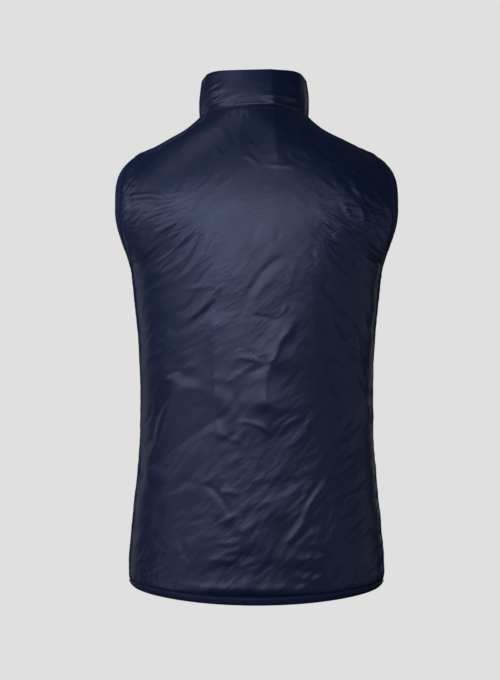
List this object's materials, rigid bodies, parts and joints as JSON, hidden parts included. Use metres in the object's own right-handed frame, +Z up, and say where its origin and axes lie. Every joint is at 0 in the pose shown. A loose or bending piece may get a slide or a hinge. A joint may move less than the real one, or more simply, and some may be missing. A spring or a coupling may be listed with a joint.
{
  "type": "padded vest",
  "caption": "Sleeveless padded vest with a stand collar, bound armholes and hem and a front zip, in its worn, hollow form.",
  "frame": {"origin": "midway between the shoulders, level with the points where the collar meets the shoulder seams: where the wearer carries the vest", "axes": "+Z up, +X to the wearer's left, -Y the way the front faces"},
  "size_m": [0.3832, 0.2425, 0.716],
  "materials": {
    "shell": "smooth, slightly shiny woven nylon, dark navy",
    "binding": "matt elastic tape, dark navy",
    "zip_tape": "matt woven tape, dark navy",
    "zip_box": "moulded plastic, dark navy",
    "zip_metal": "dark enamel, satin"
  },
  "bodies": {
    "vest": {"back_panel": "shell", "front_panel_left": "shell", "front_panel_right": "shell", "collar": "shell", "armhole_binding_left": "binding", "armhole_binding_right": "binding", "hem_binding": "binding", "zip_tape_left": "zip_tape", "zip_tape_right": "zip_tape", "zip_box": "zip_box", "zip_slider": "zip_metal"},
    "pull_tab": {"zip_pull": "zip_metal"}
  },
  "joints": [
    {"name": "pull_tab_swing", "type": "hinge", "parent": "vest", "child": "pull_tab", "pos_m": [0, -0.08819, 0.014], "axis": [-1, 0, 0], "range_deg": [-3, 170]}
  ]
}
